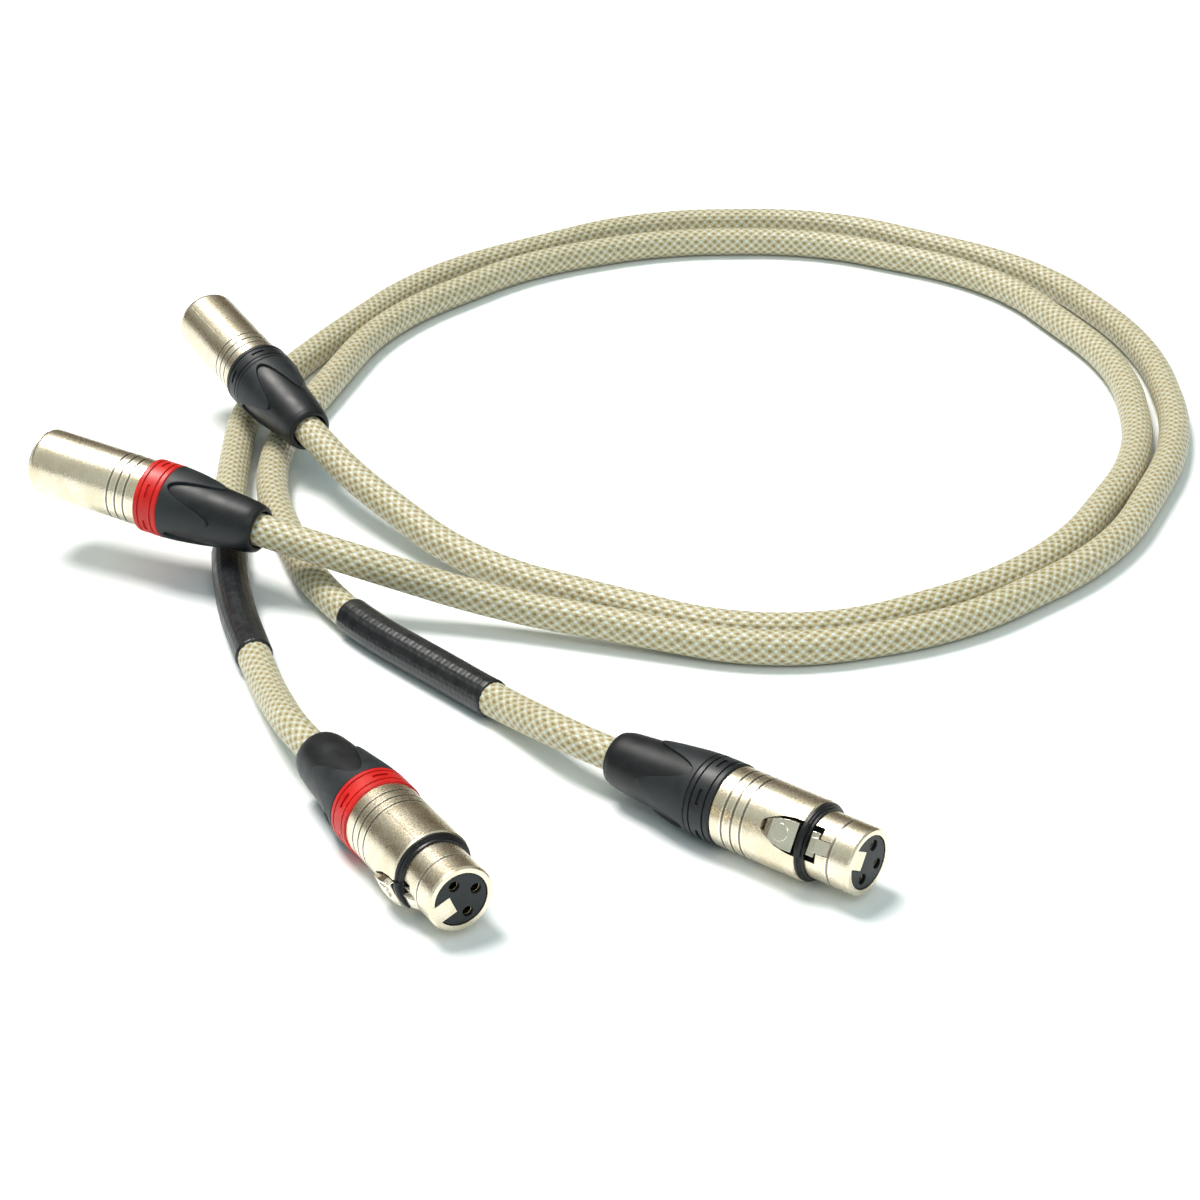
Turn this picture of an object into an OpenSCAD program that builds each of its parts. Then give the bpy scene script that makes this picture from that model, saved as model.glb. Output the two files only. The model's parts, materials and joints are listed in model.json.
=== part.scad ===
// XLR cable coil: two braided cables in one loose coil, each with a male and a
// female connector. Millimetres. Origin at the coil's middle on the ground, +Z up.

/* [View] */
// Sub-part to show, or all of them

/* [Cable] */
// Radius of the jacketed conductor core
core_r = 3.6; // [3:0.1:4]
// Inner radius of the braided sleeve
sleeve_in = 3.75; // [3.2:0.05:4]
// Outer radius of the braided sleeve
sleeve_r = 4.4; // [4:0.1:5]
// Inner radius of the heat-shrink
shrink_in = 4.5; // [4.1:0.05:5]
// Outer radius of the heat-shrink
shrink_r = 5.05; // [4.5:0.05:6]
// Share of a segment taken by a bend
bend_share = 0.42; // [0.3:0.01:0.48]
// Largest angle of one step of a bend
bend_step = 10; // [6:1:12]
// Straight cable kept at a male connector
male_lead = 34; // [20:1:40]
// Straight cable kept at a female connector
female_lead = 30; // [20:1:36]

/* [Swinging ends] */
// Male tail: distance along the cable to its swing point
male_pivot = 34; // [32:1:36]
// Female tail: distance along the cable to its swing point
female_pivot = 50; // [48:1:52]
// Gap left round a swing point
pivot_gap = 0.3; // [0.1:0.05:0.5]

/* [Heat-shrink] */
// Cable a: far end, measured from the female end
shrink_a_far = 129; // [120:1:140]
// Cable a: near end, measured from the female end
shrink_a_near = 70; // [60:1:80]
// Cable b: far end, measured from the female end
shrink_b_far = 145; // [135:1:155]
// Cable b: near end, measured from the female end
shrink_b_near = 84; // [75:1:95]

/* [Connectors] */
// Radius of the coding ring
ring_r = 10; // [9:0.1:11]
// Radius of the female shell
female_r = 9.6; // [9:0.05:10]
// Radius of the female nose
nose_r = 7.95; // [7.5:0.05:8.2]
// Front of the female nose
female_front = 37.25; // [35:0.05:40]
// Radius of the male shell
male_r = 9.15; // [9:0.05:10]
// Front of the male shell
male_front = 34.8; // [33:0.1:38]
// Bore of the male shell's open front
male_bore = 8.1; // [8:0.05:8.4]
// Radius of the rear bore of every shell
bore_r = 7.3; // [7:0.05:7.5]
// Contact pin radius
pin_r = 1.18; // [1.1:0.01:1.25]
// Contact socket bore radius
socket_r = 1.2; // [1.15:0.01:1.3]
// Contacts' distance from the axis
contact_at = 3.95; // [3.5:0.05:4.2]

/* [Boots] */
// Middle of the wavy edge of the hard boot
wave_mid = -14.9; // [-16:0.1:-13]
// Height of the wave
wave_amp = 7.3; // [4:0.1:8]
// Depth of the soft windows
wave_step = 0.55; // [0.3:0.05:0.8]

/* [Colours] */
// Shells and latch
metal = "#c9c2b4"; // ["#c9c2b4", "#b8b8b8"]
// Braided sleeve
braid = "#b79a76"; // ["#b79a76", "#d0b890"]
// Coding rings of cable a
ring_a = "#232323"; // ["#232323", "#c01712"]
// Coding rings of cable b
ring_b = "#c01712"; // ["#c01712", "#232323"]
// Insulation of the inner wires
wire = "#8c1a17"; // ["#8c1a17", "#dddddd"]
// Hard black plastic
hard_black = "#232323"; // ["#232323", "#333333"]
// Soft black rubber
soft_black = "#161616"; // ["#161616", "#2a2a2a"]
// Contacts
brass = "#c8a24a"; // ["#c8a24a", "#d8d8d8"]

/* [Hidden] */

ground_gap = 0.05;
low = sleeve_r + ground_gap;    // axis height of cable lying on the ground
rest = ring_r + ground_gap;     // axis height of a connector lying on its ring

// connector poses: x, y, z of the shell's rear shoulder, yaw, pitch, roll of the key, roll of the boot
MALE_A = [-135, -20, 21.5, 121.5, 9, 49.3, -24];
MALE_B = [-154.5, -102.5, 21.5, 153, 5, 125, -36];
FEMALE_A = [-4.5, -244, rest, -40, 0, 60.5, 31.6];
FEMALE_B = [-83.5, -250.5, rest, -60, 0, 113.5, 12];

// waypoints of the two cables: x, y, z, male end first
WAY_A = [
  [-69, -114, 5.6], [13, -157, low], [85, -114, low], [122.2, -39.1, low], [126.2, 26, low],
  [96, 103, low], [37, 137, low], [-14, 136, low], [-59, 115, low], [-104.5, 64, low],
  [-133.5, -48, low], [-108, -133, 5.15], [-59, -188, 5.15]];
WAY_B = [
  [-62, -139, 7.6], [10, -161, low], [57, -146, low], [104, -103, low], [135.5, -28.2, low],
  [136.6, 42, low], [111, 108, low], [43, 157, low], [-21, 155, low], [-92.5, 103, low],
  [-124, 39, low], [-141, -5, low], [-139, -72, 5], [-131, -133, 5.15], [-117, -180, 5.15]];

// places on a connector's axis
cable_end = -12;
male_guide = -60;     // first waypoint behind a male connector
female_guide = -50;   // last waypoint behind a female connector

ball_ease = 0.04;     // how far the balls between two stretches of cable stand out
pivot_clear_r = sleeve_r + ball_ease + pivot_gap;
shrink_overrun = 6;   // how far the heat-shrink's bore is cut past each end

// ---------- geometry of a cable's path ----------
function unit(v) = v / norm(v);
function axis(pose) = [cos(pose[4]) * cos(pose[3]), cos(pose[4]) * sin(pose[3]), sin(pose[4])];
function up(pose) = [-sin(pose[4]) * cos(pose[3]), -sin(pose[4]) * sin(pose[3]), cos(pose[4])];
function on_axis(pose, s) = [pose[0], pose[1], pose[2]] + s * axis(pose);
function waypoints(male, way, female) = concat(
  [on_axis(male, cable_end), on_axis(male, male_guide)], way,
  [on_axis(female, female_guide), on_axis(female, cable_end)]);
function leg_length(pts, i) = norm(pts[i + 1] - pts[i]);
function leg_dir(pts, i) = unit(pts[i + 1] - pts[i]);
// length that the bend at waypoint i takes from the legs beside it
function trim(pts, i) = min(
  i == 1 ? leg_length(pts, 0) - male_lead : bend_share * leg_length(pts, i - 1),
  i == len(pts) - 2 ? leg_length(pts, i) - female_lead : bend_share * leg_length(pts, i));
// waypoint i, rounded in short straight steps that touch the arc
function bend(pts, i) =
  let (before = leg_dir(pts, i - 1), after = leg_dir(pts, i),
    turn = acos(before * after), steps = ceil(turn / bend_step), cut = trim(pts, i),
    arc_r = cut / tan(turn / 2), inward = unit(after - before * (before * after)),
    centre = pts[i] - cut * before + arc_r * inward, corner_r = arc_r / cos(turn / steps / 2))
  [for (j = [0:steps - 1]) let (a = (j + 0.5) * turn / steps)
    centre + corner_r * (sin(a) * before - cos(a) * inward)];
function rounded(pts) = concat(
  [pts[0]], [for (i = [1:len(pts) - 2]) each bend(pts, i)], [pts[len(pts) - 1]]);

// marks: distance along the path at each of its points
function distances(path) =
  [for (i = 0, s = 0; i < len(path);
    s = s + (i < len(path) - 1 ? leg_length(path, i) : 0), i = i + 1) s];
function total(marks) = marks[len(marks) - 1];
function leg_at(marks, s) =
  let (passed = [for (i = [0:len(marks) - 2]) if (marks[i] <= s) i]) passed[len(passed) - 1];
function point_at(path, marks, s) =
  let (i = leg_at(marks, s)) path[i] + (s - marks[i]) * leg_dir(path, i);

PATH_A = rounded(waypoints(MALE_A, WAY_A, FEMALE_A));
PATH_B = rounded(waypoints(MALE_B, WAY_B, FEMALE_B));
MARKS_A = distances(PATH_A);
MARKS_B = distances(PATH_B);

// ---------- cable modules ----------
// a frame with its origin and its three axes
module frame(origin, x, y, z) multmatrix([
  [x[0], y[0], z[0], origin[0]],
  [x[1], y[1], z[1], origin[1]],
  [x[2], y[2], z[2], origin[2]],
  [0, 0, 0, 1]]) children();

module along(origin, z) {
  x = unit(cross(abs(z[2]) < 0.9 ? [0, 0, 1] : [1, 0, 0], z));
  frame(origin, x, cross(z, x), z) children();
}

// a cable between two distances, leg after leg: each leg ends in a ball, and the next leg
// starts in that ball's own frame. x is the leg's own +X. The last leg runs on by over,
// or ends in the swing point's clearance.
module chain(path, marks, from, to, r, i, x, over, gap) {
  z = leg_dir(path, i);
  length = min(to, marks[i + 1]) - max(from, marks[i]);
  if (marks[i + 1] < to - 0.01) {
    cylinder(h = length, r = r);
    next = leg_dir(path, i + 1);
    y = cross(z, x);
    a = atan2(next * y, next * x);
    b = acos(min(1, next * z));
    next_x = cos(a) * cos(b) * x + sin(a) * cos(b) * y - sin(b) * z;
    translate([0, 0, length]) {
      sphere(r = r + ball_ease);
      rotate([0, b, a]) chain(path, marks, from, to, r, i + 1, next_x, over, gap);
    }
  }
  else if (gap) difference() {
    cylinder(h = length, r = r);
    translate([0, 0, length]) sphere(r = pivot_clear_r);
  }
  else cylinder(h = length + over, r = r);
}

module run(path, marks, from, to, r, over = 0, gap = false) {
  i = leg_at(marks, from);
  first_x = unit(cross([0, 0, 1], leg_dir(path, i)));
  chain(path, marks, from, to, r, i, first_x, over, gap);
}

module start_at(path, marks, s)
  along(point_at(path, marks, s), leg_dir(path, leg_at(marks, s))) children();

// the coil, between the two swing points
module coil_core(path, marks) start_at(path, marks, male_pivot) difference() {
  run(path, marks, male_pivot, total(marks) - female_pivot, core_r, gap = true);
  sphere(r = pivot_clear_r);
}

module coil_sleeve(path, marks) start_at(path, marks, male_pivot) difference() {
  run(path, marks, male_pivot, total(marks) - female_pivot, sleeve_r, gap = true);
  run(path, marks, male_pivot, total(marks) - female_pivot, sleeve_in);
  sphere(r = pivot_clear_r);
}

// a stretch of cable between two distances from the female end
module stretch(path, marks, far, near, r)
  start_at(path, marks, total(marks) - far)
    run(path, marks, total(marks) - far, total(marks) - near, r);

module shrink_tube(path, marks, far, near) difference() {
  stretch(path, marks, far, near, shrink_r);
  stretch(path, marks, far + shrink_overrun, near - shrink_overrun, shrink_in);
}

// the straight male tail, with a ball end at its swing point
module male_core(path) along(path[0], leg_dir(path, 0)) union() {
  cylinder(h = male_pivot, r = core_r);
  translate([0, 0, male_pivot]) sphere(r = core_r + ball_ease);
}

module male_sleeve(path) {
  outer = [for (a = [0:15:90]) [sleeve_r * cos(a), male_pivot + sleeve_r * sin(a)]];
  inner = [for (a = [90:-15:0]) [sleeve_in * cos(a), male_pivot + sleeve_in * sin(a)]];
  along(path[0], leg_dir(path, 0))
    rotate_extrude() polygon(concat([[sleeve_in, 0], [sleeve_r, 0]], outer, inner));
}

// the female tail, with a ball end at its swing point
module female_tail(path, marks, r, over = 0) union() {
  run(path, marks, total(marks) - female_pivot, total(marks), r, over = over);
  sphere(r = r + ball_ease);
}

module female_core(path, marks)
  start_at(path, marks, total(marks) - female_pivot) female_tail(path, marks, core_r);

module female_sleeve(path, marks)
  start_at(path, marks, total(marks) - female_pivot) difference() {
    female_tail(path, marks, sleeve_r);
    female_tail(path, marks, sleeve_in, over = 1);
  }

// ---------- connector frame: front towards +Z, key towards +X ----------
module place(pose, roll) {
  x = up(pose);
  z = axis(pose);
  frame(pose, x, cross(z, x), z) rotate([0, 0, roll]) children();
}
module at_shell(pose) place(pose, pose[5]) children();
module at_boot(pose) place(pose, pose[6]) children();

// a plan of [across, along] points, extruded outwards from x0 to x1
module plan(pts, x0, x1)
  translate([x0, 0, 0]) rotate([90, 0, 90]) linear_extrude(height = x1 - x0) polygon(pts);
// a side view of [out, along] points, extruded across
module side(pts, width)
  rotate([90, 0, 0]) linear_extrude(height = width, center = true) polygon(pts);
// half an outline, closed by its mirror image
function both(half) = concat(half, [for (i = [len(half) - 1:-1:0]) [-half[i][0], half[i][1]]]);

module groove(r, z, width, depth)
  translate([0, 0, z - width / 2]) rotate_extrude()
    translate([r - depth, 0]) square([depth + 1, width]);

CONTACT_ANGLES = [90, 180, 270];
module contacts()
  for (a = CONTACT_ANGLES) rotate([0, 0, a]) translate([contact_at, 0, 0]) children();

// ---------- shells ----------
collar_r = 8.1;
collar_rear = -6.5;
shell_bevel = 0.2;
clear_r = 12;             // beyond every connector surface
female_step = 23;         // where the female bore narrows
nose_bore_r = 6.45;
male_step = 17.5;         // where the male bore widens
lip_round = 2;            // rounding of the male front edge
inner_groove_rear = 30.2; // groove in the male bore
inner_groove_front = 32;
inner_groove_depth = 0.25;
key_in = 2.05;            // key block in the female nose: nearest the axis
key_width = 4.4;
key_rear = 32.2;
female_insert_front = 37.1;

// half the latch opening: across, along
WINDOW_HALF = [[0.9, 13.8], [1.6, 14.4], [2.6, 16.2], [3.5, 18.2], [4.1, 21.5], [4.1, 28.3],
  [1.75, 28.3], [1.75, 31.2]];

// three grooves round a shell and a fine line along each side
module shell_marks(r, line_rear, line_length) {
  for (z = [3.5, 6.1, 8.7]) groove(r, z, 0.5, 0.2);
  for (a = [90, -90]) rotate([0, 0, a])
    translate([r - 0.12, -0.1, line_rear]) cube([1, 0.2, line_length]);
}

// the rear of a shell's outline: radius, along
function shell_rear(r) = [[bore_r, collar_rear], [collar_r, collar_rear], [collar_r, 0],
  [r - shell_bevel, 0], [r, shell_bevel]];

module female_shell() difference() {
  union() {
    difference() {
      rotate_extrude() polygon(concat(shell_rear(female_r),
        [[female_r, 23.3], [female_r - 0.3, 23.6], [nose_r, 23.6],
         [nose_r, female_front - 0.45], [nose_r - 0.45, female_front],
         [nose_bore_r, female_front], [nose_bore_r, female_step], [bore_r, female_step]]));
      groove(nose_r, 31.55, 0.6, 0.2);
    }
    translate([key_in, -key_width / 2, key_rear])
      cube([4.55, key_width, female_insert_front - key_rear]);
  }
  shell_marks(female_r, 9.3, 13.9);
  plan(both(WINDOW_HALF), 4.9, clear_r);
}

module male_shell() difference() {
  rotate_extrude() polygon(concat(shell_rear(male_r),
    [for (a = [0:15:60])
      [male_r - lip_round + lip_round * cos(a), male_front - lip_round + lip_round * sin(a)]],
    [[male_bore + 0.1, male_front], [male_bore, male_front - 0.1],
     [male_bore, inner_groove_front],
     [male_bore + inner_groove_depth, inner_groove_front - inner_groove_depth],
     [male_bore + inner_groove_depth, inner_groove_rear + inner_groove_depth],
     [male_bore, inner_groove_rear], [male_bore, male_step], [bore_r, male_step]]));
  shell_marks(male_r, 9.7, 22.9);
}

// ---------- inserts, contacts and wires ----------
contact_gap = 0.05;       // between a contact and its hole
socket_body_r = 1.75;
socket_rear = 6;
socket_front = 36.1;
pin_body_r = 1.55;
pin_rear = 5;
pin_front = 31.7;
pin_bevel = 0.5;
wire_gap = 0.4;           // between a wire and its contact
key_gap = 0.15;           // round the key block

module female_insert() difference() {
  body_r = bore_r - 0.15;
  nose_in = nose_bore_r - 0.1;
  rotate_extrude() polygon([[0, 5], [body_r, 5], [body_r, female_step - 0.2],
    [nose_in, female_step - 0.2], [nose_in, female_insert_front - 0.2],
    [nose_in - 0.2, female_insert_front], [0, female_insert_front]]);
  // recess under the latch
  translate([4.9, -3.4, 12]) cube([4, 6.8, 19.6]);
  // slot for the key block
  translate([key_in - key_gap, -key_width / 2 - key_gap, 31.9])
    cube([6, key_width + 2 * key_gap, 6]);
  contacts() translate([0, 0, 4])
    cylinder(h = socket_front + 0.1 - 4, r = socket_body_r + contact_gap);
  contacts() translate([0, 0, 30]) cylinder(h = 8, r = 1.3);
}

module male_insert() difference() {
  body_r = bore_r - 0.1;
  face_r = male_bore - 0.05;
  rotate_extrude() polygon([[0, 3], [body_r, 3], [body_r, male_step], [face_r, male_step],
    [face_r, 19.2], [face_r - 0.3, 19.5], [0, 19.5]]);
  contacts() translate([0, 0, 2]) cylinder(h = 18, r = pin_body_r + contact_gap);
}

module socket_set() contacts() difference() {
  translate([0, 0, socket_rear]) cylinder(h = socket_front - socket_rear, r = socket_body_r);
  translate([0, 0, 24.1]) cylinder(h = 13, r = socket_r);
}

module pin_set() contacts() rotate_extrude() polygon([[0, pin_rear], [pin_body_r, pin_rear],
  [pin_body_r, 19.4], [pin_r, 19.4], [pin_r, pin_front - pin_bevel],
  [pin_r - pin_bevel, pin_front], [0, pin_front]]);

// three wires that spread from the cable to the contacts
module wire_set(contact_rear) for (a = CONTACT_ANGLES) {
  start = [1.7 * cos(a), 1.7 * sin(a), -11.8];
  end = [3.9 * cos(a), 3.9 * sin(a), contact_rear - wire_gap];
  along(start, unit(end - start)) cylinder(h = norm(end - start), r = 0.8);
}

// ---------- latch and gasket of the female connector ----------
// halves of the lever's plate, with its neck and wings, and of its pad: across, along
PLATE_HALF = [[1.1, 14.5], [2.1, 16.4], [2.9, 18.6], [2.9, 23.2], [1.85, 23.2], [1.85, 25.75],
  [2.75, 25.75], [2.75, 27.8], [1.55, 27.8], [1.55, 31]];
PAD_HALF = [[1.2, 14.7], [1.9, 15.7], [2.9, 18.4], [3.4, 21], [3.4, 23.2]];
// side views: out, along
TOOTH = [[7.3, 26.5], [8.75, 26.5], [8.75, 28], [7.55, 31], [7.3, 31]];
PAD_SIDE = [[7.2, 14.6], [9.3, 14.6], [10.5, 15.6], [10.75, 17], [10.6, 20], [10.1, 22.8],
  [9.8, 23.2], [7.2, 23.2]];
SPRING = [[6.7, 16], [6.7, 18.5], [6.15, 24], [5.9, 24], [6.4, 18.5], [6.4, 16]];
// sections of the gasket and of its thicker part over the latch: radius, along
GASKET = [[8, 23.65], [9.3, 23.65], [9.3, 24.2], [8.95, 24.35], [9, 24.75], [8.5, 25],
  [8.4, 25.5], [8, 25.6]];
GASKET_BRIDGE = [[8.2, 23.7], [9.7, 23.7], [9.7, 24.6], [9.2, 25], [8.2, 25.1]];
bridge_angle = 50;

module latch_lever() union() {
  plan(both(PLATE_HALF), 6.75, 7.6);
  side(TOOTH, 3.1);
  // push pad
  intersection() {
    plan(both(PAD_HALF), 7.2, clear_r);
    side(PAD_SIDE, 9);
  }
  // round badge on the pad
  translate([10, 0, 19.6]) rotate([0, 87, 0]) cylinder(h = 0.8, r = 2);
}

module leaf_spring() side(SPRING, 2.4);

module gasket_ring() union() {
  rotate_extrude() polygon(GASKET);
  rotate([0, 0, -bridge_angle / 2]) rotate_extrude(angle = bridge_angle) polygon(GASKET_BRIDGE);
}

// ---------- chuck, ring and boot ----------
chuck_in = 4.46;
ring_in = 8.3;
ring_rear = -7.2;
ring_front = -0.05;
ring_bevel = 0.3;
notch_angle = 22;
boot_waist = -16;         // where the boot's taper changes
boot_waist_r = 9.1;
hard_end = -24;           // rear of the hard boot
hard_end_r = 8.15;
wave_r = 8.6;             // radius that the wave is laid out on
wave_half = 6.081;        // half a wave's width, wave_r * sin(45) to 0.001

module cable_chuck() difference() {
  rotate_extrude() polygon([[chuck_in, -19], [5.3, -19], [6.2, -15.5], [6.2, -2], [chuck_in, -2]]);
  for (a = [30, 150, 270]) rotate([0, 0, a]) translate([3, -0.6, -20]) cube([5, 1.2, 13]);
}

module coding_ring() difference() {
  rotate_extrude() polygon([[ring_in, ring_rear], [ring_r - ring_bevel, ring_rear],
    [ring_r, ring_rear + ring_bevel], [ring_r, ring_front - ring_bevel],
    [ring_r - ring_bevel, ring_front], [ring_in, ring_front]]);
  for (z = [-1.7, -5.6]) groove(ring_r, z, 0.45, 0.35);
  for (a = [0:60:300]) rotate([0, 0, a - notch_angle / 2]) translate([0, 0, -4.05])
    rotate_extrude(angle = notch_angle) translate([ring_r - 0.4, 0]) square([1, 0.9]);
}

// the hard boot, cut by four waves into fingers
module boot_hard() difference() {
  rotate_extrude() polygon([[6.3, -0.6], [7.15, -0.6], [7.15, -7.25], [9.7, -7.25], [9.95, -7.5],
    [boot_waist_r, boot_waist], [hard_end_r, hard_end],
    [hard_end_r + 0.02 - wave_step, hard_end], [boot_waist_r + 0.02 - wave_step, boot_waist],
    [9.95 - wave_step, -7.9], [6.4, -7.9]]);
  for (a = [0:90:270]) rotate([0, 0, a]) plan(concat([[-wave_half, -30]],
    [for (d = [-45:5:45]) [wave_r * sin(d), wave_mid + wave_amp * cos(4 * d)]],
    [[wave_half, -30]]), 4.4, clear_r);
}

module boot_soft() rotate_extrude() polygon([[6.35, -7.95], [9.93 - wave_step, -7.95],
  [boot_waist_r - wave_step, boot_waist], [hard_end_r - wave_step, hard_end],
  [7.45, -27], [7.1, -29.5], [6.8, -32], [6.45, -33.4], [5.95, -34.05], [5.3, -34.2],
  [4.95, -33.7], [4.95, -20.5], [6.35, -20.5]]);

// ---------- sub-parts ----------
module a_coil_core() color(soft_black) coil_core(PATH_A, MARKS_A);
module a_coil_sleeve() color(braid) coil_sleeve(PATH_A, MARKS_A);
module a_shrink() color(soft_black) shrink_tube(PATH_A, MARKS_A, shrink_a_far, shrink_a_near);
module a_m_core() color(soft_black) male_core(PATH_A);
module a_m_sleeve() color(braid) male_sleeve(PATH_A);
module a_f_core() color(soft_black) female_core(PATH_A, MARKS_A);
module a_f_sleeve() color(braid) female_sleeve(PATH_A, MARKS_A);
module a_m_shell() color(metal) at_shell(MALE_A) male_shell();
module a_m_insert() color(hard_black) at_shell(MALE_A) male_insert();
module a_m_pins() color(brass) at_shell(MALE_A) pin_set();
module a_m_chuck() color(hard_black) at_shell(MALE_A) cable_chuck();
module a_m_wires() color(wire) at_shell(MALE_A) wire_set(pin_rear);
module a_m_ring() color(ring_a) at_shell(MALE_A) coding_ring();
module a_m_boot() color(hard_black) at_boot(MALE_A) boot_hard();
module a_m_boot_tail() color(soft_black) at_boot(MALE_A) boot_soft();
module a_f_shell() color(metal) at_shell(FEMALE_A) female_shell();
module a_f_insert() color(hard_black) at_shell(FEMALE_A) female_insert();
module a_f_sockets() color(brass) at_shell(FEMALE_A) socket_set();
module a_f_latch() color(metal) at_shell(FEMALE_A) latch_lever();
module a_f_spring() color(metal) at_shell(FEMALE_A) leaf_spring();
module a_f_gasket() color(soft_black) at_shell(FEMALE_A) gasket_ring();
module a_f_chuck() color(hard_black) at_shell(FEMALE_A) cable_chuck();
module a_f_wires() color(wire) at_shell(FEMALE_A) wire_set(socket_rear);
module a_f_ring() color(ring_a) at_shell(FEMALE_A) coding_ring();
module a_f_boot() color(hard_black) at_boot(FEMALE_A) boot_hard();
module a_f_boot_tail() color(soft_black) at_boot(FEMALE_A) boot_soft();
module b_coil_core() color(soft_black) coil_core(PATH_B, MARKS_B);
module b_coil_sleeve() color(braid) coil_sleeve(PATH_B, MARKS_B);
module b_shrink() color(soft_black) shrink_tube(PATH_B, MARKS_B, shrink_b_far, shrink_b_near);
module b_m_core() color(soft_black) male_core(PATH_B);
module b_m_sleeve() color(braid) male_sleeve(PATH_B);
module b_f_core() color(soft_black) female_core(PATH_B, MARKS_B);
module b_f_sleeve() color(braid) female_sleeve(PATH_B, MARKS_B);
module b_m_shell() color(metal) at_shell(MALE_B) male_shell();
module b_m_insert() color(hard_black) at_shell(MALE_B) male_insert();
module b_m_pins() color(brass) at_shell(MALE_B) pin_set();
module b_m_chuck() color(hard_black) at_shell(MALE_B) cable_chuck();
module b_m_wires() color(wire) at_shell(MALE_B) wire_set(pin_rear);
module b_m_ring() color(ring_b) at_shell(MALE_B) coding_ring();
module b_m_boot() color(hard_black) at_boot(MALE_B) boot_hard();
module b_m_boot_tail() color(soft_black) at_boot(MALE_B) boot_soft();
module b_f_shell() color(metal) at_shell(FEMALE_B) female_shell();
module b_f_insert() color(hard_black) at_shell(FEMALE_B) female_insert();
module b_f_sockets() color(brass) at_shell(FEMALE_B) socket_set();
module b_f_latch() color(metal) at_shell(FEMALE_B) latch_lever();
module b_f_spring() color(metal) at_shell(FEMALE_B) leaf_spring();
module b_f_gasket() color(soft_black) at_shell(FEMALE_B) gasket_ring();
module b_f_chuck() color(hard_black) at_shell(FEMALE_B) cable_chuck();
module b_f_wires() color(wire) at_shell(FEMALE_B) wire_set(socket_rear);
module b_f_ring() color(ring_b) at_shell(FEMALE_B) coding_ring();
module b_f_boot() color(hard_black) at_boot(FEMALE_B) boot_hard();
module b_f_boot_tail() color(soft_black) at_boot(FEMALE_B) boot_soft();

a_coil_core();
a_coil_sleeve();
a_shrink();
a_m_core();
a_m_sleeve();
a_f_core();
a_f_sleeve();
a_m_shell();
a_m_insert();
a_m_pins();
a_m_chuck();
a_m_wires();
a_m_ring();
a_m_boot();
a_m_boot_tail();
a_f_shell();
a_f_insert();
a_f_sockets();
a_f_latch();
a_f_spring();
a_f_gasket();
a_f_chuck();
a_f_wires();
a_f_ring();
a_f_boot();
a_f_boot_tail();
b_coil_core();
b_coil_sleeve();
b_shrink();
b_m_core();
b_m_sleeve();
b_f_core();
b_f_sleeve();
b_m_shell();
b_m_insert();
b_m_pins();
b_m_chuck();
b_m_wires();
b_m_ring();
b_m_boot();
b_m_boot_tail();
b_f_shell();
b_f_insert();
b_f_sockets();
b_f_latch();
b_f_spring();
b_f_gasket();
b_f_chuck();
b_f_wires();
b_f_ring();
b_f_boot();
b_f_boot_tail();
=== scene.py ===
# Looks for a pair of balanced audio cables, "a" and "b": braided sleeves, heat-shrink, boots,
# metal and plastic finishes. Each cable is coiled around the origin on the floor (z = 0), from
# its male connector at the left (-X) to its female connector at the front (-Y).
# The layout is in mm; MM turns it into scene metres.
import json
import math

import bpy
import numpy as np
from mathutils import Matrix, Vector


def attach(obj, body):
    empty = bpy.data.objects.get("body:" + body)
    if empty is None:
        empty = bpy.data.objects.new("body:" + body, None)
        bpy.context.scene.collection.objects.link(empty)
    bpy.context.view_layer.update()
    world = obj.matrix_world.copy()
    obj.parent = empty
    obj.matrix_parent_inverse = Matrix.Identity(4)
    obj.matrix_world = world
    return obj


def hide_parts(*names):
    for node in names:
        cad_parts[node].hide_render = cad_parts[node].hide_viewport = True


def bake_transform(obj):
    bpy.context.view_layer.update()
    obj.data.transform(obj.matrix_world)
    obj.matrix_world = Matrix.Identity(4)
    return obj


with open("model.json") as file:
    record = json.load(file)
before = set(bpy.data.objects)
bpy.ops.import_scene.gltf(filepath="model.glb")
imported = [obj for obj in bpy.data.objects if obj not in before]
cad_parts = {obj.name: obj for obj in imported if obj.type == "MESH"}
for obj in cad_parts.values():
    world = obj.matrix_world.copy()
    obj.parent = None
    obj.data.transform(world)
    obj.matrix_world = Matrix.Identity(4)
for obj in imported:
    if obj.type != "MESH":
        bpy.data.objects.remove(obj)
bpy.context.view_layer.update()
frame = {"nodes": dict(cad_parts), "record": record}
NODES = frame["nodes"]
scene = bpy.context.scene
MM = 0.001
TURN = 2 * math.pi

# ---------- layout, shared with the CAD ----------
# Connector: x, y, z of its origin (mm), yaw and pitch of its axis, phase of its boot (degrees).
# Stations along the axis are positive towards the plug and negative towards the cable.
CONNECTORS = {
    "am": (-135, -20, 21.5, 121.5, 9, -24),
    "bm": (-154.5, -102.5, 21.5, 153, 5, -36),
    "af": (-4.5, -244, 10.05, -40, 0, 31.6),
    "bf": (-83.5, -250.5, 10.05, -60, 0, 12),
}
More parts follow.
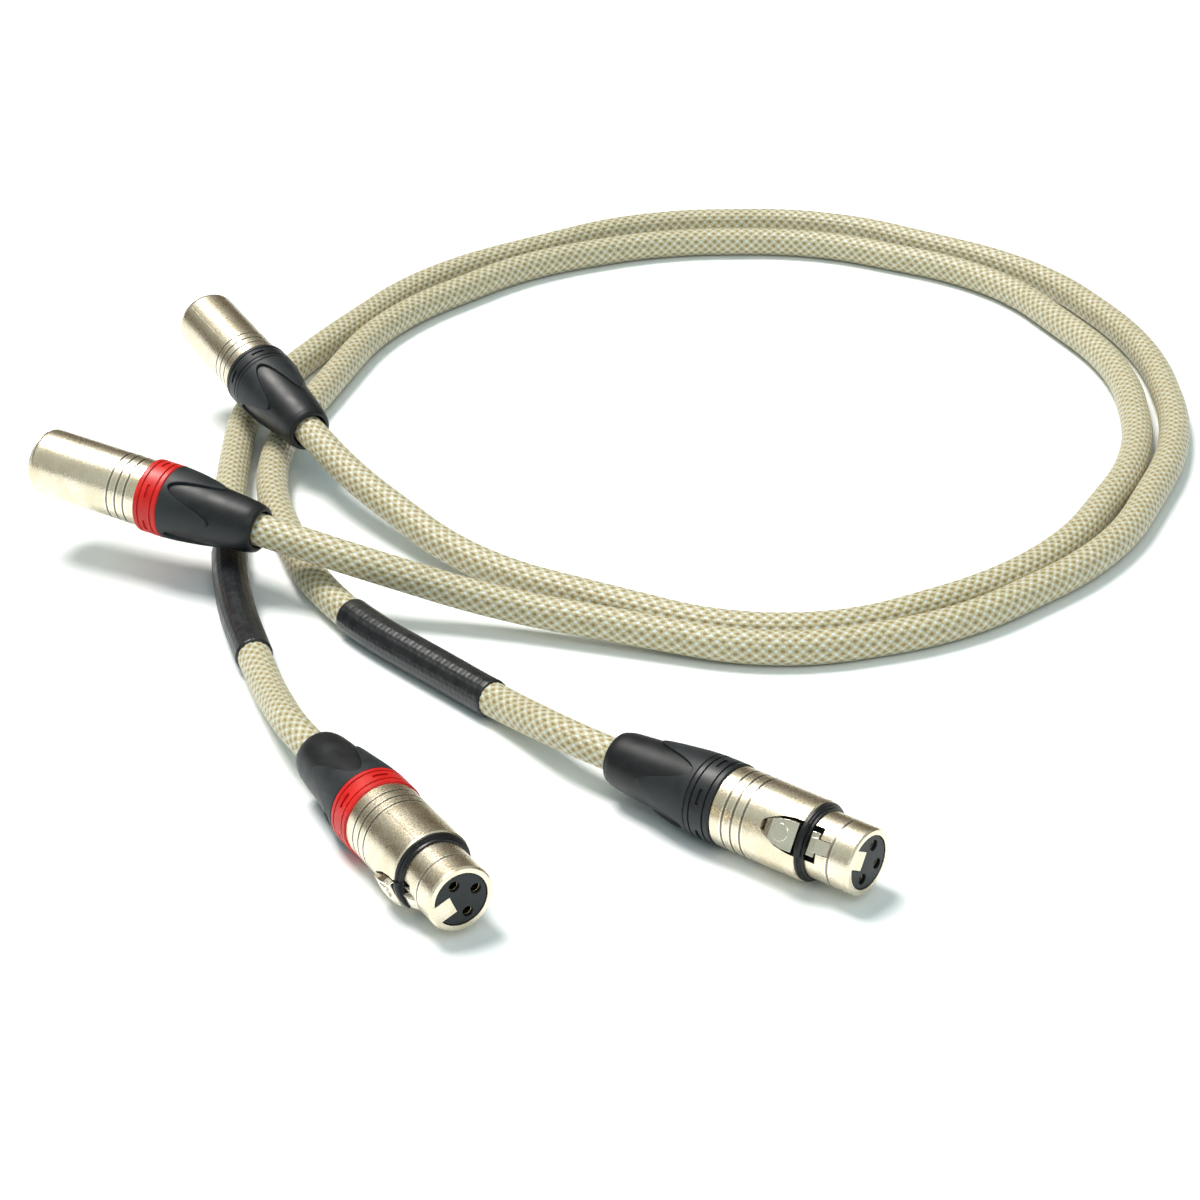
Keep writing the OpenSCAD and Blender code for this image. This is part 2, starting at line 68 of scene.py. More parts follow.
# x, y, z of the corners between the two connectors, from male to female
WAYPOINTS = {
    "a": [
        [-69, -114, 5.6], [13, -157, 4.45], [85, -114, 4.45], [122.2, -39.1, 4.45],
        [126.2, 26, 4.45], [96, 103, 4.45], [37, 137, 4.45], [-14, 136, 4.45],
        [-59, 115, 4.45], [-104.5, 64, 4.45], [-133.5, -48, 4.45], [-108, -133, 5.15],
        [-59, -188, 5.15],
    ],
    "b": [
        [-62, -139, 7.6], [10, -161, 4.45], [57, -146, 4.45], [104, -103, 4.45],
        [135.5, -28.2, 4.45], [136.6, 42, 4.45], [111, 108, 4.45], [43, 157, 4.45],
        [-21, 155, 4.45], [-92.5, 103, 4.45], [-124, 39, 4.45], [-141, -5, 4.45],
        [-139, -72, 5], [-131, -133, 5.15], [-117, -180, 5.15],
    ],
}
PATH_INSET = 12                 # the path starts and ends this far behind each origin
MALE_CORNER, FEMALE_CORNER = 60, 50     # first and last corners, behind the origins
MALE_STRAIGHT, FEMALE_STRAIGHT = 34, 30  # least straight length at each end
CORNER_SHARE = 0.42             # part of a side that a corner's bend may take


def connector_axes(connector):
    """Origin and X, Y, Z directions of a connector; Z is its axis, X is boot phase 0."""
    x, y, z, yaw, pitch, _ = CONNECTORS[connector]
    yaw, pitch = math.radians(yaw), math.radians(pitch)
    axis = np.array([math.cos(pitch) * math.cos(yaw), math.cos(pitch) * math.sin(yaw),
                     math.sin(pitch)])
    up = np.array([-math.sin(pitch) * math.cos(yaw), -math.sin(pitch) * math.sin(yaw),
                   math.cos(pitch)])
    return np.array([x, y, z], float), up, np.cross(axis, up), axis


def axis_point(connector, station):
    origin, _, _, axis = connector_axes(connector)
    return origin + station * axis


def make_path(cable):
    """Straights and arcs as (start, direction, side the arc bends to, radius, length)."""
    male, female = cable + "m", cable + "f"
    corners = [axis_point(male, -PATH_INSET), axis_point(male, -MALE_CORNER)]
    corners += [np.array(point, float) for point in WAYPOINTS[cable]]
    corners += [axis_point(female, -FEMALE_CORNER), axis_point(female, -PATH_INSET)]
    last = len(corners) - 1
    sides = [np.linalg.norm(corners[i + 1] - corners[i]) for i in range(last)]
    pieces, start = [], corners[0]
    for i in range(1, last):
        before = (corners[i] - corners[i - 1]) / sides[i - 1]
        after = (corners[i + 1] - corners[i]) / sides[i]
        cut = min(
            sides[0] - MALE_STRAIGHT if i == 1 else CORNER_SHARE * sides[i - 1],
            sides[i] - FEMALE_STRAIGHT if i == last - 1 else CORNER_SHARE * sides[i],
        )
        bend_start, bend_end = corners[i] - cut * before, corners[i] + cut * after
        cosine = np.dot(before, after)
        angle = math.acos(float(cosine))
        inward = after - before * cosine
        inward = inward / np.linalg.norm(inward)
        radius = cut / math.tan(angle / 2)
        pieces.append((start, before, None, 0, float(np.linalg.norm(bend_start - start))))
        pieces.append((bend_start, before, inward, radius, radius * angle))
        start = bend_end
    direction = (corners[-1] - corners[-2]) / sides[-1]
    pieces.append((start, direction, None, 0, float(np.linalg.norm(corners[-1] - start))))
    return pieces


def path_point(path, distance):
    """Point and tangent at a distance from the male end of a path."""
    for i, (start, direction, inward, radius, length) in enumerate(path):
        if distance <= length or i == len(path) - 1:
            if inward is None:
                return start + direction * distance, direction
            turn = distance / radius
            point = (start + direction * radius * math.sin(turn)
                     + inward * radius * (1 - math.cos(turn)))
            return point, direction * math.cos(turn) + inward * math.sin(turn)
        distance -= length


def path_frames(path, distances):
    """Points along a path and their two twist-free side directions."""
    samples = [path_point(path, distance) for distance in distances]
    normal = np.cross([0, 0, 1.0], samples[0][1])
    normal /= np.linalg.norm(normal)
    normals = []
    for _, tangent in samples:
        normal = normal - tangent * np.dot(normal, tangent)
        normal = normal / np.linalg.norm(normal)
        normals.append(normal)
    points, tangents = (np.array(column) for column in zip(*samples))
    normals = np.array(normals)
    return points, normals, np.cross(tangents, normals)


# ---------- meshes ----------
def add_object(name, data):
    obj = bpy.data.objects.new(name, data)
    scene.collection.objects.link(obj)
    return obj


def grid_mesh(name, rings, uv=None, cap=False):
    """Object from closed rings[i, j] in mm; uv holds u for each ring and v around a ring."""
    rows, columns = rings.shape[:2]
    i, j = np.meshgrid(np.arange(rows - 1), np.arange(columns), indexing="ij")
    next_j = (j + 1) % columns
    corners = np.stack([i * columns + j, i * columns + next_j,
                        (i + 1) * columns + next_j, (i + 1) * columns + j], -1).ravel()
    loops = corners.tolist()
    starts = list(range(0, corners.size, 4))
    last_ring = (rows - 1) * columns
    if cap:
        loops += list(range(columns))[::-1] + list(range(last_ring, last_ring + columns))
        starts += [corners.size, corners.size + columns]
    mesh = bpy.data.meshes.new(name)
    mesh.vertices.add(rows * columns)
    mesh.vertices.foreach_set("co", (rings.reshape(-1, 3) * MM).astype(np.float32).ravel())
    mesh.loops.add(len(loops))
    mesh.loops.foreach_set("vertex_index", loops)
    mesh.polygons.add(len(starts))
    mesh.polygons.foreach_set("loop_start", starts)
    mesh.update(calc_edges=True)
    mesh.polygons.foreach_set("use_smooth", [True] * len(starts))
    if cap:
        sharp = mesh.attributes.new("sharp_edge", "BOOLEAN", "EDGE")
        sharp.data.foreach_set("value", [
            max(edge.vertices) < columns or min(edge.vertices) >= last_ring
            for edge in mesh.edges])
    if uv is not None:
        u, v = uv
        v_next = v[j] + 1.0 / columns     # the last column ends at 1, not back at 0
        coords = np.zeros((len(loops), 2), np.float32)
        coords[:corners.size, 0] = np.stack([u[i], u[i], u[i + 1], u[i + 1]], -1).ravel()
        coords[:corners.size, 1] = np.stack([v[j], v_next, v_next, v[j]], -1).ravel()
        mesh.uv_layers.new(name="braid").data.foreach_set("uv", coords.ravel())
    mesh.validate()
    return add_object(name, mesh)


# ---------- shader helpers ----------
SURFACE_INPUTS = {
    "color": "Base Color", "metallic": "Metallic", "roughness": "Roughness",
    "normal": "Normal", "specular": "Specular IOR Level", "sheen": "Sheen Weight",
}


class ShaderTree:
    """Node tree of a material or world; inputs take a value, a colour or another output."""

    def __init__(self, owner, output="ShaderNodeOutputMaterial",
                 shader="ShaderNodeBsdfPrincipled"):
        owner.use_nodes = True
        self.owner = owner
        self.tree = owner.node_tree
        self.tree.nodes.clear()
        output = self.node(output)
        self.shader = self.node(shader)
        self.feed(self.shader.outputs[0], output.inputs[0])

    def node(self, kind, inputs=None, **settings):
        node = self.tree.nodes.new(kind)
        for key, value in settings.items():
            setattr(node, key, value)
        for key, value in (inputs or {}).items():
            self.feed(value, node.inputs[key])
        return node

    def feed(self, value, socket):
        if isinstance(value, bpy.types.NodeSocket):
            self.tree.links.new(value, socket)
        else:
            socket.default_value = (*value, 1) if isinstance(value, tuple) else value

    def surface(self, **values):
        for key, value in values.items():
            self.feed(value, self.shader.inputs[SURFACE_INPUTS[key]])

    def math(self, operation, a, b=0.0, c=None):
        inputs = {0: a, 1: b} if c is None else {0: a, 1: b, 2: c}
        return self.node("ShaderNodeMath", inputs, operation=operation).outputs[0]

    def times(self, a, b):
        return self.math("MULTIPLY", a, b)

    def invert(self, value):
        return self.math("SUBTRACT", 1.0, value)

    def remap(self, value, low, high, to_low=0, to_high=1, kind="LINEAR"):
        inputs = {0: value, 1: low, 2: high, 3: to_low, 4: to_high}
        return self.node("ShaderNodeMapRange", inputs, interpolation_type=kind).outputs[0]

    def smooth(self, value, low, high):
        return self.remap(value, low, high, kind="SMOOTHSTEP")

    def mix(self, factor, a, b, blend="MIX"):
        node = self.node("ShaderNodeMix", data_type="RGBA", blend_type=blend)
        for index, value in ((0, factor), (6, a), (7, b)):
            self.feed(value, node.inputs[index])
        return node.outputs[2]

    def coords(self, kind="Object"):
        return self.node("ShaderNodeTexCoord").outputs[kind]

    def separate(self, vector):
        return self.node("ShaderNodeSeparateXYZ", {0: vector}).outputs

    def noise(self, scale, detail=2.0, roughness=0.5):
        inputs = {"Scale": scale, "Detail": detail, "Roughness": roughness,
                  "Vector": self.coords()}
        return self.node("ShaderNodeTexNoise", inputs).outputs["Fac"]

    def bump(self, height, strength, distance_mm, normal=None):
        inputs = {"Strength": strength, "Distance": distance_mm * MM, "Height": height}
        if normal is not None:
            inputs["Normal"] = normal
        return self.node("ShaderNodeBump", inputs).outputs[0]

    def bevel(self, radius_mm):
        return self.node("ShaderNodeBevel", {"Radius": radius_mm * MM}, samples=6).outputs[0]

    def dot(self, a):
        """Dot product node with its first input fed; the caller fills the second."""
        return self.node("ShaderNodeVectorMath", {0: a}, operation="DOT_PRODUCT")

    def rim(self, bevel):
        """1 near edges, from the rounded normal against the flat one; masks the painted edge
        highlights.
        """
        dot = self.dot(bevel)
        self.feed(self.node("ShaderNodeNewGeometry").outputs["Normal"], dot.inputs[1])
        return self.smooth(self.invert(dot.outputs["Value"]), 0.02, 0.2)


def material_tree(name):
    return ShaderTree(bpy.data.materials.new(name))


# ---------- materials ----------
# Noise scales are per metre. Edge radius (mm) rounds the shading of edges.
# color, darker patches, roughness, grain scale, painted edge highlight color, edge radius
METALS = {
    "shell": ((0.9, 0.81, 0.66), (0.77, 0.67, 0.5), 0.28, 2100, (1.0, 0.97, 0.88), 0.09),
    "latch": ((0.93, 0.88, 0.77), (0.84, 0.78, 0.66), 0.2, 1500, (1.0, 0.98, 0.93), 0.12),
    "spring": ((0.75, 0.7, 0.6), (0.6, 0.55, 0.45), 0.25, 1500, (1.0, 0.95, 0.9), 0.1),
    "contact": ((0.85, 0.72, 0.42), (0.7, 0.55, 0.28), 0.2, 1500, (1.0, 0.9, 0.6), 0.1),
}
# color, lighter patches, roughness, grain scale, grain strength, edge radius, specular
PLASTICS = {
    "insert": ((0.008, 0.01, 0.012), (0.014, 0.017, 0.02), 0.45, 2500, 0.15, 0.06, 0.4),
    "chuck": ((0.06, 0.06, 0.065), (0.09, 0.09, 0.095), 0.5, 2500, 0.15, 0.12, 0.5),
    "wire": ((0.5, 0.06, 0.04), (0.6, 0.1, 0.07), 0.4, 1500, 0.1, 0.12, 0.5),
    "ring_black": ((0.006, 0.0085, 0.011), (0.011, 0.0145, 0.018), 0.4, 2500, 0.12, 0.06, 0.4),
    "ring_red": ((0.55, 0.008, 0.006), (0.66, 0.014, 0.01), 0.4, 2500, 0.12, 0.06, 0.4),
    "boot": ((0.009, 0.0125, 0.0155), (0.0145, 0.0195, 0.0235), 0.5, 3200, 0.3, 0.12, 0.42),
    "boot_tail": ((0.0045, 0.006, 0.008), (0.008, 0.0105, 0.013), 0.42, 2500, 0.15, 0.12, 0.4),
    "gasket": ((0.004, 0.005, 0.006), (0.008, 0.009, 0.011), 0.36, 2500, 0.1, 0.06, 0.4),
    "jacket": ((0.02, 0.02, 0.022), (0.03, 0.03, 0.033), 0.5, 2500, 0.1, 0.12, 0.5),
}
SHELL_GROOVES = (3.5, 6.1, 8.7)     # stations of the turned grooves
FEMALE_GROOVE = 31.55               # one more on the female shells
# painted shade colour for the groove floors
GROOVE_SHADE = (0.2, 0.165, 0.11)
STRANDS = 10                        # braid repeats around the sleeve
BRAID_PITCH = 3.2                   # braid repeat along the sleeve
FILAMENTS = 6                       # filaments across a strand


def grooved(tree, color, lip_highlight_color, connector, grooves):
    """Turned grooves across a connector's axis, with painted shade on their floors and painted
    highlights on their lips.
    """
    origin, _, _, axis = connector_axes(connector)
    dot = tree.dot(tree.coords())
    dot.inputs[1].default_value = tuple(float(x) for x in axis)
    station = tree.math("MULTIPLY_ADD", dot.outputs["Value"], 1 / MM,
                        -float(np.dot(origin, axis)))
    for groove in grooves:
        away = tree.math("ABSOLUTE", tree.math("SUBTRACT", station, groove))
        # painted highlight on the groove's lips
        lip_highlight = tree.times(tree.smooth(away, 0.28, 0.4),
                         tree.invert(tree.smooth(away, 0.5, 0.85)))
        color = tree.mix(tree.times(lip_highlight, 0.75), color, lip_highlight_color)
        # painted shade on the groove's floor
        groove_shade_mask = tree.invert(tree.smooth(away, 0.22, 0.34))
        color = tree.mix(tree.times(groove_shade_mask, 0.8), color, GROOVE_SHADE)
    return color


def metal(name, color, dark, roughness, grain, edge_highlight_color, edge_radius,
          connector=None, grooves=()):
    tree = material_tree(name)
    fine = tree.noise(grain, detail=3, roughness=0.6)
    broad = tree.noise(160)
    bevel = tree.bevel(edge_radius)
    color = tree.mix(tree.smooth(broad, 0.3, 0.7), dark, color)
    color = tree.mix(tree.times(tree.smooth(fine, 0.45, 0.7), 0.35), color, dark)
    # painted highlight: edges mixed towards the lighter edge highlight colour
    color = tree.mix(tree.times(tree.rim(bevel), 0.8), color, edge_highlight_color)
    if connector:
        # painted shade on the groove floors, painted highlights on their lips
        color = grooved(tree, color, edge_highlight_color, connector, grooves)
    tree.surface(
        color=color, metallic=1.0,
        roughness=tree.remap(fine, 0.3, 0.7, roughness - 0.05, roughness + 0.08),
        normal=tree.bump(fine, strength=0.5, distance_mm=0.06, normal=bevel))
    return tree.owner


def plastic(name, color, light, roughness, grain, strength, edge_radius, specular):
    tree = material_tree(name)
    fine = tree.noise(grain, roughness=0.6)
    broad = tree.noise(220, detail=3)
    bevel = tree.bevel(edge_radius)
    # painted highlight along the edges, lighter than the plastic's lighter patches
    edge_highlight_color = tuple(min(1, x * 1.8 + 0.02) for x in light)
    color = tree.mix(tree.smooth(broad, 0.35, 0.7), color, light)
    color = tree.mix(tree.times(tree.rim(bevel), 0.35), color, edge_highlight_color)
    tree.surface(
        color=color, specular=specular,
        roughness=tree.remap(broad, 0.3, 0.7, roughness - 0.05, roughness + 0.07),
        normal=tree.bump(fine, strength, distance_mm=0.03, normal=bevel))
    return tree.owner


def braid_material():
    """Two sets of crossing strands, from the braid UV map (u in mm along, v around)."""
    tree = material_tree("braid_mat")
    along, around, _ = tree.separate(tree.node("ShaderNodeUVMap", uv_map="braid").outputs[0])
    around = tree.times(around, float(STRANDS))
    along = tree.times(along, 1 / BRAID_PITCH)
    warp = tree.noise(300)
    strands, waves = [], []
    for operation, shift in (("ADD", 0.05), ("SUBTRACT", -0.05)):
        strand = tree.math(operation, around, along)
        warped = tree.math("ADD", strand, tree.remap(warp, 0.3, 0.7, -shift, shift))
        strands.append(strand)
        waves.append(tree.math("COSINE", tree.times(warped, TURN)))
    crossing = tree.times(tree.math("ADD", *waves), 0.5)
    upper = tree.times(tree.math("SUBTRACT", *waves), 0.5)      # sign: which strand is on top
    height = tree.math("ABSOLUTE", upper)

    mottle = tree.noise(420)
    color = tree.mix(tree.smooth(mottle, 0.35, 0.65), (0.43, 0.37, 0.205), (0.51, 0.445, 0.265))
    # painted highlight: lighter where a strand lies on top
    crown_highlight = tree.times(tree.smooth(height, 0.35, 0.9), 0.85)
    color = tree.mix(crown_highlight, color, (0.6, 0.53, 0.335))

    # fine filaments along whichever strand is on top
    lines = [tree.math("SINE", tree.times(strand, TURN * FILAMENTS)) for strand in strands]
    over = tree.smooth(upper, -0.1, 0.1)
    filaments = tree.math("ADD", tree.times(lines[0], tree.invert(over)),
                          tree.times(lines[1], over))
    between = tree.times(tree.smooth(filaments, -0.2, -0.95), 0.3)
    color = tree.mix(between, color, (0.27, 0.225, 0.12))

    # painted glints where both waves are low; brown pits where both are high, painted shade over
    # the darker core seen in the gaps
    glint = tree.times(tree.smooth(tree.times(crossing, -1.0), 0.34, 0.72),
                        tree.remap(mottle, 0.3, 0.7, 0.6, 1.0))
    color = tree.mix(glint, color, (0.68, 0.73, 0.72))
    # painted shade in the gaps between strands, over the darker core that shows there
    pit_shade = tree.times(tree.smooth(crossing, 0.3, 0.75), 0.95)
    color = tree.mix(pit_shade, color, (0.275, 0.205, 0.095))
    relief = tree.math("ADD", tree.times(filaments, 0.25), height)
    tree.surface(
        color=color, roughness=tree.remap(glint, 0, 1, 0.42, 0.24), sheen=0.12, specular=0.5,
        normal=tree.bump(relief, strength=0.5, distance_mm=0.1))
    return tree.owner


def shrink_material():
    tree = material_tree("shrink_mat")
    fine, broad = tree.noise(2500), tree.noise(300, detail=3)
    tree.surface(
        color=tree.mix(tree.smooth(broad, 0.3, 0.7),
                       (0.006, 0.007, 0.009), (0.012, 0.014, 0.017)),
        roughness=tree.remap(broad, 0.3, 0.7, 0.3, 0.42),
        normal=tree.bump(fine, strength=0.12, distance_mm=0.03))
    return tree.owner


MATERIALS = {slot: metal(slot + "_mat", *look) for slot, look in METALS.items()}
MATERIALS.update({slot: plastic(slot + "_mat", *look) for slot, look in PLASTICS.items()})
MATERIALS.update(shrink=shrink_material(), braid=braid_material())


def paint(obj, material):
    obj.data.materials.clear()
    obj.data.materials.append(material)


def dress(obj, slot):
    paint(obj, MATERIALS[slot])


def find_slots(entry, slots):
    """Gather the material slot of each node, at any depth of the record."""
    if isinstance(entry, dict):
        if "node" in entry and "material_slot" in entry:
            slots[entry["node"]] = entry["material_slot"]
        entry = list(entry.values())
    if isinstance(entry, list):
        for child in entry:
            find_slots(child, slots)
    return slots


def paint_cad_pieces():
    slots = find_slots(frame["record"], {})
    for name, obj in NODES.items():
        paint(obj, MATERIALS[slots.get(name, "insert")])
    for connector in CONNECTORS:
        cable, end = connector
        grooves = SHELL_GROOVES + ((FEMALE_GROOVE,) if end == "f" else ())
        paint(NODES[f"{cable}_{end}_shell"],
              metal("shell_mat_" + connector, *METALS["shell"], connector, grooves))


paint_cad_pieces()

# ---------- braided sleeve in three pieces, and heat-shrink ----------
# Places are distances along the path, from its male or its female end.
TUBE_AROUND = 120
BRAID_STEP, SHRINK_STEP = 0.6, 0.4
BRAID_INSET = 12.0
MALE_SEAM, FEMALE_SEAM = 52.0, 66.0
MALE_BLEND, FEMALE_BLEND = (48, 24), (63, 34)
SHRINK_SPAN = {"a": (129, 70), "b": (145, 84)}      # from the female end
BRAID_RADIUS, BRAID_SWELL, BRAID_TAPER = 4.28, 0.16, 0.3
SHRINK_RADIUS = 4.86
SHRINK_PINCH, PINCH_LENGTH = 0.42, 0.55             # rounding of the shrink's ends
CARRY_START, CARRY_STEP = 10.0, 2.0


def ease(x, low, high):
    x = np.clip((x - low) / (high - low), 0, 1)
    return x * x * (3 - 2 * x)


def weave(u, v):
    """Height of the braid over the sleeve's radius."""
    wave_a = np.cos(2 * np.pi * (STRANDS * v + u / BRAID_PITCH))
    wave_b = np.cos(2 * np.pi * (STRANDS * v - u / BRAID_PITCH))
    crossing, upper = (wave_a + wave_b) / 2, (wave_a - wave_b) / 2
    return 0.13 * np.abs(upper) ** 0.8 - 0.1 * ease(crossing, 0.2, 0.9) - 0.03


def shrink_relief(u, v):
    """The braid faintly showing through, and a slight waviness."""
    return 0.45 * weave(u, v) + 0.03 * np.sin(2 * np.pi * v * 3 + u * 0.21)


def tube(name, path, start, end, radius, relief, step, with_uv=True):
    steps = max(2, int(round((end - start) / step)))
    u = np.linspace(start, end, steps + 1)
    # the side directions are carried from the male end, so neighbouring pieces share them
    carry = np.arange(CARRY_START, start, CARRY_STEP)
    frames = path_frames(path, np.concatenate([carry, u]))
    points, normals, binormals = (column[len(carry):, None, :] for column in frames)
    v = np.arange(TUBE_AROUND) / TUBE_AROUND
    radii = radius(u)[:, None] + relief(u[:, None], v[None, :])
    angle = (2 * np.pi * v)[None, :, None]
    rings = points + radii[..., None] * (np.cos(angle) * normals + np.sin(angle) * binormals)
    return grid_mesh(name, rings, (u, v) if with_uv else None, cap=True)


def build_sleeve(cable):
    path = make_path(cable)
    total = sum(piece[-1] for piece in path)
    shrink_start, shrink_end = (total - distance for distance in SHRINK_SPAN[cable])

    def place(distance):
        return tuple(float(x) * MM for x in path_point(path, distance)[0])

    def braid_radius(u):
        """Swells after the male end, and narrows before and under the shrink."""
        radius = BRAID_RADIUS + BRAID_SWELL * ease(u, 60, 140)
        radius = radius - BRAID_SWELL * ease(u, shrink_start - 40, shrink_start)
        return radius - BRAID_TAPER * ease(u, shrink_end - 6, total - 22)

    def shrink_radius(u):
        inside = np.minimum(u - shrink_start, shrink_end - u)
        return SHRINK_RADIUS - SHRINK_PINCH * np.clip(1 - inside / PINCH_LENGTH, 0, 1) ** 2

    stops = (BRAID_INSET, MALE_SEAM, total - FEMALE_SEAM, total - BRAID_INSET)
    male, coil, female = (
        tube(f"{cable}_braid_{part}", path, start, end, braid_radius, weave, BRAID_STEP)
        for part, start, end in zip(("male", "coil", "female"), stops, stops[1:]))
    for obj in (male, coil, female):
        dress(obj, "braid")
    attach(coil, "coil")
    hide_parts(cable + "_coil_sleeve")
    male_blend = [place(distance) for distance in MALE_BLEND]
    female_blend = [place(total - distance) for distance in FEMALE_BLEND]
    for obj, end, (blend_start, blend_end) in (
            (male, "male", male_blend), (female, "female", female_blend)):
        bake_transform(obj)
        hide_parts(f"{cable}_{end[0]}_sleeve", f"{cable}_{end[0]}_core")

    shrink = tube(cable + "_shrink_tube", path, shrink_start, shrink_end,
                  shrink_radius, shrink_relief, SHRINK_STEP, with_uv=False)
    dress(shrink, "shrink")
    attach(shrink, "coil")
    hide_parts(cable + "_shrink")


for cable in "ab":
    build_sleeve(cable)

# ---------- boots: hard part with four pointed fingers over a soft tail ----------
# station along the axis, radius
HARD_PROFILE = [(-7.25, 9.95), (-11.0, 9.7), (-16.0, 9.1), (-20.0, 8.6), (-24.0, 8.15),
                (-27.0, 7.7)]
SOFT_PROFILE = [(-6.0, 9.25), (-9.0, 9.05), (-11.0, 8.85), (-16.0, 8.3), (-20.0, 7.92),
                (-24.0, 7.6), (-27.0, 7.36), (-31.0, 6.95), (-33.0, 6.6), (-33.75, 6.2),
                (-34.1, 5.7), (-34.2, 5.3)]
HARD_FRONT_FACE = [(-7.25, 8.3), (-7.25, 9.7)]
# the soft tail's rounded rear end, and back into the cable opening
SOFT_REAR = [(-33.6, 6.32), (-33.95, 6.0), (-34.15, 5.6), (-34.2, 5.28), (-34.1, 5.08),
             (-33.8, 4.98), (-33.0, 4.95), (-30.0, 4.95), (-26.0, 4.95)]
SIDE_FRONT, SOFT_SIDE_REAR = -7.4, -33.2
BOOT_AROUND = 192
HARD_ROWS, SOFT_ROWS, ROUNDING_ROWS = 44, 60, 6
FINGERS = 4
FINGER_MIDDLE, FINGER_REACH = -15.6, 6.9    # middle and half length of the zigzag edge
FINGER_SHAPE = 1.05
RIM_SHIFT, RIM_LIMIT = 0.35, -8.1
RIM_ROUNDING = 0.32
TUCK_LENGTH, TUCK_DEPTH = 0.36, 0.35        # the rim's last row, under the soft surface
BOOT_ANGLES = 2 * np.pi * np.arange(BOOT_AROUND) / BOOT_AROUND


def smooth_profile(table):
    """The table's radii as a curve without kinks."""
    depths = [-station for station, _ in table]
    radii = [radius for _, radius in table]
    return lambda s: np.mean([np.interp(-(s + shift), depths, radii)
                              for shift in (-0.9, -0.45, 0, 0.45, 0.9)], axis=0)


hard_radius, soft_radius = smooth_profile(HARD_PROFILE), smooth_profile(SOFT_PROFILE)


def boot_mesh(name, connector, rows):
    """Rings around a connector's axis from rows of (station, radius)."""
    origin, x_axis, y_axis, z_axis = connector_axes(connector)
    stations, radii = (
        np.array([np.broadcast_to(row[i], BOOT_AROUND) for row in rows])[..., None]
        for i in (0, 1))
    angle = BOOT_ANGLES[:, None]
    outward = np.cos(angle) * x_axis + np.sin(angle) * y_axis
    return grid_mesh(name, origin + stations * z_axis + radii * outward)


def hard_rows(phase):
    wave = np.cos(FINGERS * (BOOT_ANGLES - phase))
    edge = FINGER_MIDDLE + FINGER_REACH * (1 - 2 * ((1 - wave) / 2) ** FINGER_SHAPE)
    rim = np.minimum(edge + RIM_SHIFT, RIM_LIMIT)
    rows = list(HARD_FRONT_FACE)
    for part in np.linspace(0, 1, HARD_ROWS):
        station = SIDE_FRONT * (1 - part) + rim * part
        rows.append((station, hard_radius(station)))
    for angle in np.radians(np.linspace(15, 90, ROUNDING_ROWS)):
        station = rim - RIM_ROUNDING * math.sin(angle)
        rows.append((station, hard_radius(station) - RIM_ROUNDING * (1 - math.cos(angle))))
    station = rim - TUCK_LENGTH
    rows.append((station, soft_radius(station) - TUCK_DEPTH))
    return rows


def soft_rows():
    side = [SIDE_FRONT * (1 - part) + part * SOFT_SIDE_REAR
            for part in np.linspace(0, 1, SOFT_ROWS)]
    return [(station, soft_radius(station)) for station in side] + SOFT_REAR


def build_boot(cable, end):
    connector = cable + end
    phase = math.radians(CONNECTORS[connector][-1])
    body = cable + ("_male_boot" if end == "m" else "_female_boot")
    for part, slot, rows in (("hard", "boot", hard_rows(phase)),
                             ("soft", "boot_tail", soft_rows())):
        obj = boot_mesh(f"{connector}_boot_{part}", connector, rows)
        dress(obj, slot)
        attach(obj, body)
        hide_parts(f"{cable}_{end}_{slot}")


for cable in "ab":
    for end in "mf":
        build_boot(cable, end)


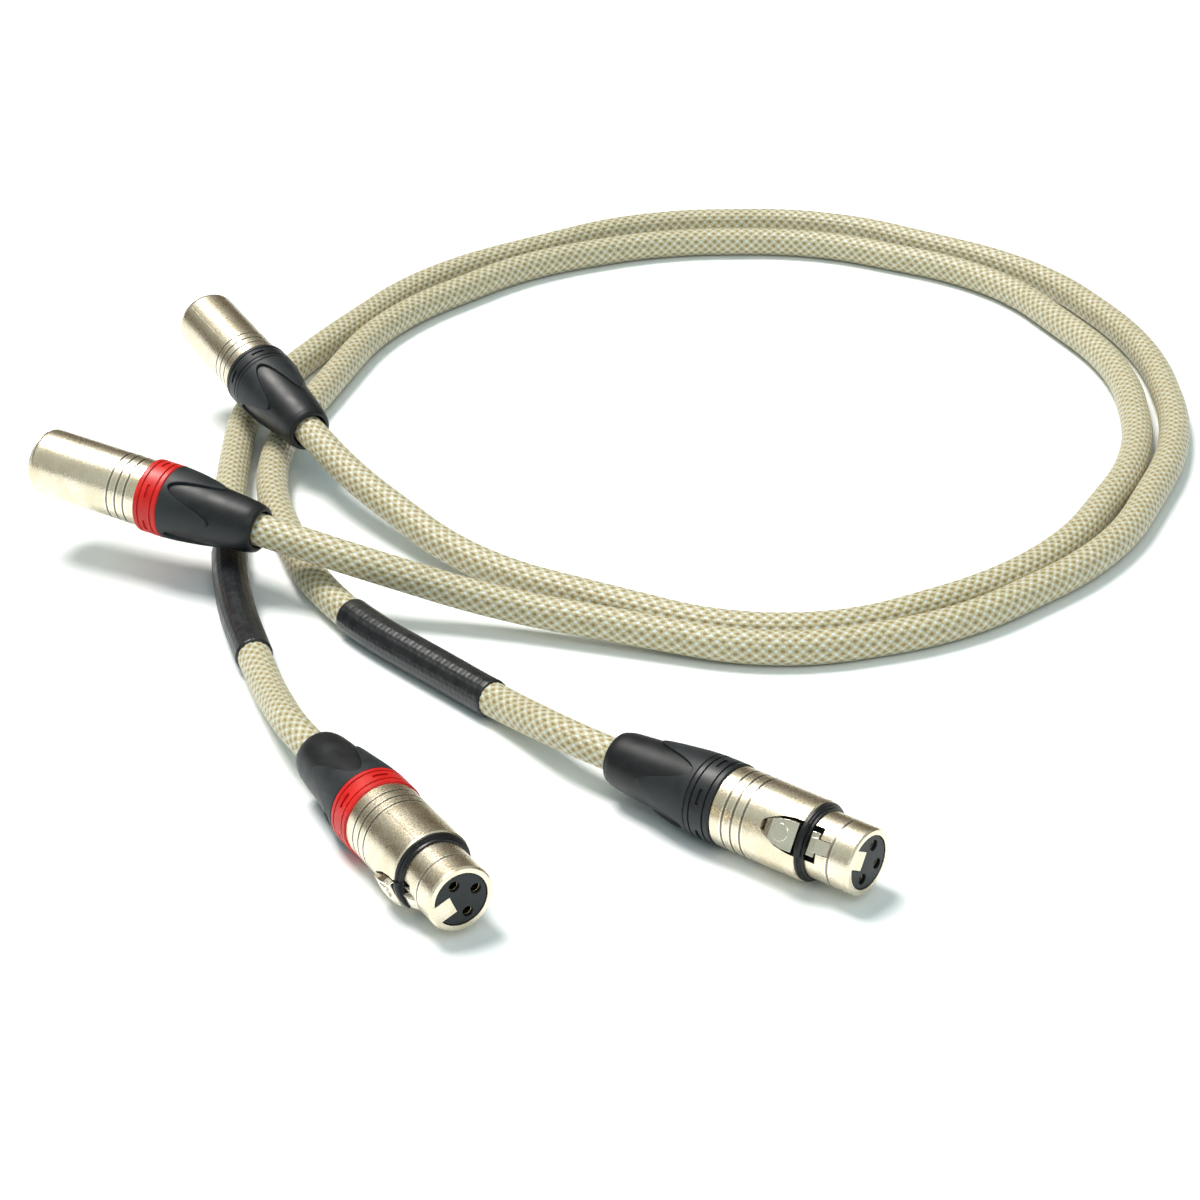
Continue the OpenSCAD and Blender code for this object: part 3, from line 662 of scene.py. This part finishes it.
# ---------- floor, light, camera (metres) ----------
def build_floor(half_size):
    mesh = bpy.data.meshes.new("floor")
    corners = [(x * half_size, y * half_size, 0) for x, y in ((-1, -1), (1, -1), (1, 1), (-1, 1))]
    mesh.from_pydata(corners, [], [(0, 1, 2, 3)])
    floor = add_object("floor", mesh)
    tree = material_tree("floor_mat")
    tree.surface(color=(0.93, 0.95, 0.955), roughness=0.75, specular=0.2)
    paint(floor, tree.owner)


def build_world(strength):
    """Sky from warm and dim at the horizon to cool and bright above."""
    scene.world = bpy.data.worlds.new("studio")
    tree = ShaderTree(scene.world, "ShaderNodeOutputWorld", "ShaderNodeBackground")
    _, y, z = tree.separate(tree.coords("Generated"))
    height = tree.math("MULTIPLY_ADD", y, -0.45, z)     # less towards the back
    sky = tree.mix(tree.smooth(height, 0.08, 0.55), (0.2, 0.19, 0.15), (0.8, 1.0, 1.02))
    # reflections see a warmer sky than the cool fill light
    glossy = tree.node("ShaderNodeLightPath").outputs["Is Glossy Ray"]
    tree.feed(tree.mix(glossy, sky, (1.15, 1.0, 0.9), blend="MULTIPLY"), tree.shader.inputs[0])
    tree.shader.inputs[1].default_value = strength


def add_light(name, kind, direction, energy, color, location=(0, 0, 0), **settings):
    light = bpy.data.lights.new(name, kind)
    light.energy, light.color = energy, color
    for key, value in settings.items():
        setattr(light, key, value)
    obj = add_object(name, light)
    obj.location = location
    obj.rotation_euler = direction.to_track_quat("-Z", "Y").to_euler()


def build_camera():
    data = bpy.data.cameras.new("camera")
    data.lens, data.sensor_width = 89.55, 36
    data.clip_start, data.clip_end = 0.01, 20
    camera = add_object("camera", data)
    camera.location = (-0.035, -0.825, 0.3615)
    camera.rotation_euler = (math.radians(62.78), 0, 0)
    scene.camera = camera


build_floor(half_size=4)
build_world(strength=0.55)
add_light("key", "SUN", Vector((0.55, -0.48, -1.6)), energy=3.3, color=(1.0, 0.965, 0.92),
          angle=math.radians(24))
FRONT_LIGHT, FRONT_TARGET = (0.2, -1.3, 1.3), (0, -0.05, 0)
add_light("front", "AREA", Vector(FRONT_TARGET) - Vector(FRONT_LIGHT), energy=5,
          color=(1.0, 0.98, 0.95), location=FRONT_LIGHT, shape="DISK", size=0.9)
build_camera()
scene.view_settings.view_transform = "Standard"
scene.view_settings.look = "None"
